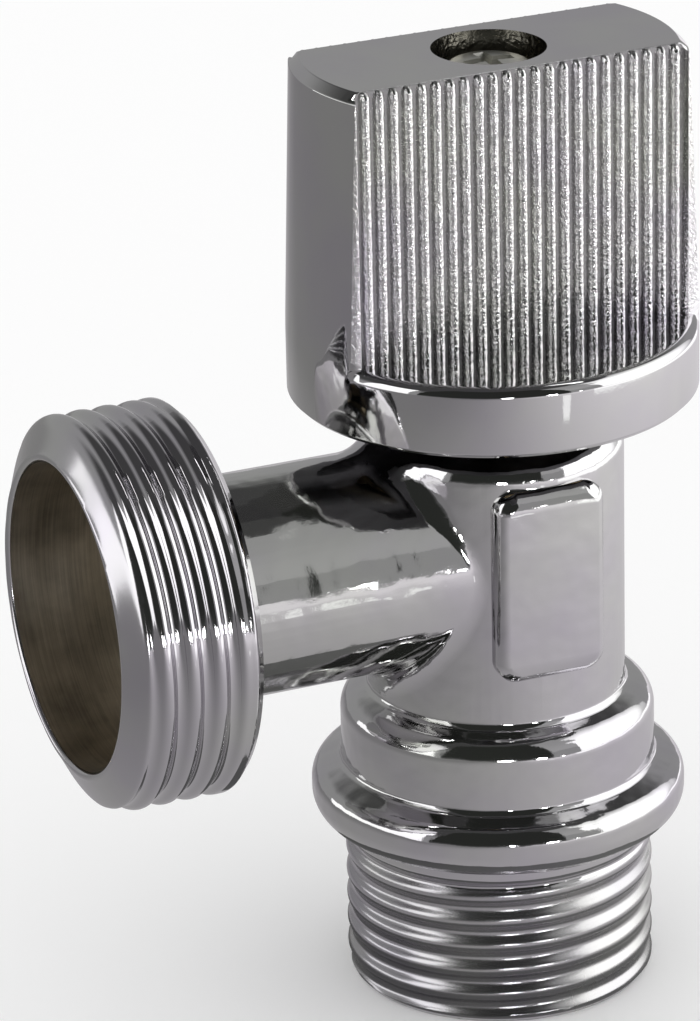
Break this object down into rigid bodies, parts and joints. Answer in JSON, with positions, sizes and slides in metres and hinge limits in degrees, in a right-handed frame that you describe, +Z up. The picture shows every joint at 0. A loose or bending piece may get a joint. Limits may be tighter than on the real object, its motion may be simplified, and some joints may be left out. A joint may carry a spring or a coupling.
{
  "type": "washing machine valve",
  "caption": "Chromed brass angle valve with a threaded inlet below, a threaded side outlet and a quarter-turn handle.",
  "frame": {"origin": "centre of the inlet's end", "axes": "+Z up the barrel to the handle, -X along the outlet branch, -Y towards the pad on the front"},
  "size_m": [0.0448, 0.0274, 0.0657],
  "materials": {
    "chrome_plate": "polished",
    "bare_brass": "satin",
    "black_rubber": "matte",
    "white_ceramic": "polished",
    "white_plastic": "matte",
    "steel": "satin"
  },
  "bodies": {
    "fixed_valve": {"valve_body": "chrome_plate", "headwork_housing": "bare_brass", "housing_seal": "black_rubber", "seat_seal": "black_rubber", "seal_support_ring": "white_plastic", "fixed_disc": "white_ceramic", "slip_washer": "white_plastic"},
    "turning_handle": {"handle": "chrome_plate", "handle_screw": "steel", "spindle": "bare_brass", "spindle_seal_lower": "black_rubber", "spindle_seal_upper": "black_rubber", "spindle_clip": "steel", "moving_disc": "white_ceramic"}
  },
  "joints": [
    {"name": "handle_turn", "type": "hinge", "parent": "fixed_valve", "child": "turning_handle", "pos_m": [0, 0, 0.0423], "axis": [0, 0, 1], "range_deg": [-90, 0]}
  ]
}
